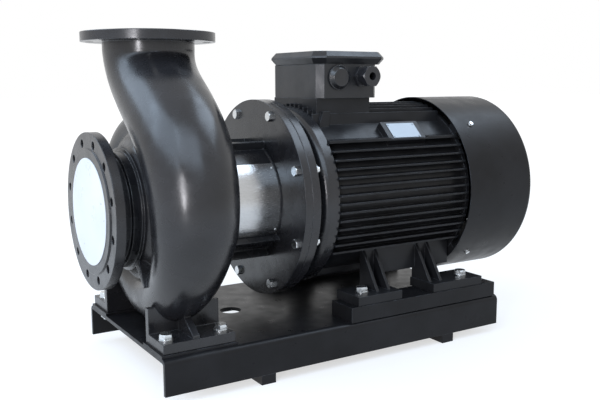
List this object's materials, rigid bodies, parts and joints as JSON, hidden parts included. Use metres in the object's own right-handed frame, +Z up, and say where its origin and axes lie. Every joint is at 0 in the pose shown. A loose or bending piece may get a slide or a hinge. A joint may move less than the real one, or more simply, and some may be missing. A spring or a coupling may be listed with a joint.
{
  "type": "monoblock centrifugal pump",
  "caption": "Close-coupled end-suction pump: spiral casing with upright discharge, windowed lantern and finned foot-mounted motor on a folded base with cross feet.",
  "frame": {"origin": "on the floor, at the centre of the rectangle of the four foundation holes in the two cross feet", "axes": "+X along the shaft from the suction flange to the motor, +Z up, +Y to the left seen from the suction end"},
  "size_m": [1.3055, 0.6558, 0.886],
  "materials": {
    "casting_black": "semi-gloss black paint on cast iron",
    "sheet_black": "smooth black paint on sheet steel",
    "zinc": "bright zinc plate",
    "stainless": "polished stainless sheet",
    "machined_iron": "machined cast iron",
    "shaft_steel": "ground steel",
    "bearing_steel": "hardened and polished",
    "lamination": "varnished laminated steel",
    "copper": "varnished copper wire",
    "brass": "bright brass",
    "rubber": "black rubber",
    "ceramic": "smooth ceramic",
    "carbon": "carbon graphite",
    "fan_plastic": "moulded nylon",
    "cap_white": "smooth white",
    "plate_silver": "bare aluminium"
  },
  "bodies": {
    "pump_frame": {"base_plate": "sheet_black", "front_cross_foot": "sheet_black", "rear_cross_foot": "sheet_black", "pump_foot_pads": "sheet_black", "motor_packer_left": "sheet_black", "motor_packer_right": "sheet_black", "volute_casing": "casting_black", "suction_cap": "cap_white", "wear_ring": "brass", "casing_cover": "casting_black", "cover_gasket": "rubber", "seal_seat": "ceramic", "drain_plug": "zinc", "cover_bolts": "zinc", "lantern": "casting_black", "window_guard_right": "stainless", "window_guard_left": "stainless", "guard_screws": "zinc", "flange_bolts": "zinc", "flange_nuts": "zinc", "drive_end_shield": "casting_black", "drive_end_outer_race": "bearing_steel", "drive_end_bearing_cap": "machined_iron", "stator_frame": "casting_black", "stator_core": "lamination", "stator_windings": "copper", "rear_shield": "casting_black", "rear_outer_race": "bearing_steel", "fan_cover": "sheet_black", "fan_cover_screws": "zinc", "terminal_box": "casting_black", "terminal_gasket": "rubber", "terminal_lid": "casting_black", "lid_screws": "zinc", "terminal_board": "fan_plastic", "terminal_studs": "brass", "cable_gland": "fan_plastic", "blanking_plug": "casting_black", "nameplate": "plate_silver", "nameplate_rivets": "plate_silver", "pump_foot_bolts": "zinc", "pump_foot_washers": "zinc", "pump_foot_nuts": "zinc", "motor_foot_bolts": "zinc", "motor_foot_washers": "zinc", "motor_foot_nuts": "zinc"},
    "rotor": {"shaft": "shaft_steel", "impeller": "machined_iron", "impeller_key": "shaft_steel", "impeller_nut": "shaft_steel", "seal_ring": "carbon", "seal_bellows": "rubber", "shaft_slinger": "rubber", "drive_end_inner_race": "bearing_steel", "rear_inner_race": "bearing_steel", "rotor_core": "lamination", "cooling_fan": "fan_plastic"},
    "drive_end_cage": {"drive_end_balls": "bearing_steel"},
    "rear_cage": {"rear_balls": "bearing_steel"}
  },
  "joints": [
    {"name": "shaft_spin", "type": "hinge", "parent": "pump_frame", "child": "rotor", "pos_m": [-0.16, 0, 0.436], "axis": [1, 0, 0], "continuous": true},
    {"name": "drive_end_cage_spin", "type": "hinge", "parent": "pump_frame", "child": "drive_end_cage", "pos_m": [-0.0925, 0, 0.436], "axis": [1, 0, 0], "continuous": true},
    {"name": "rear_cage_spin", "type": "hinge", "parent": "pump_frame", "child": "rear_cage", "pos_m": [0.4255, 0, 0.436], "axis": [1, 0, 0], "continuous": true}
  ],
  "couplings": [
    {"joint": "drive_end_cage_spin", "follows": "shaft_spin", "ratio": 0.39245},
    {"joint": "rear_cage_spin", "follows": "shaft_spin", "ratio": 0.39091}
  ]
}
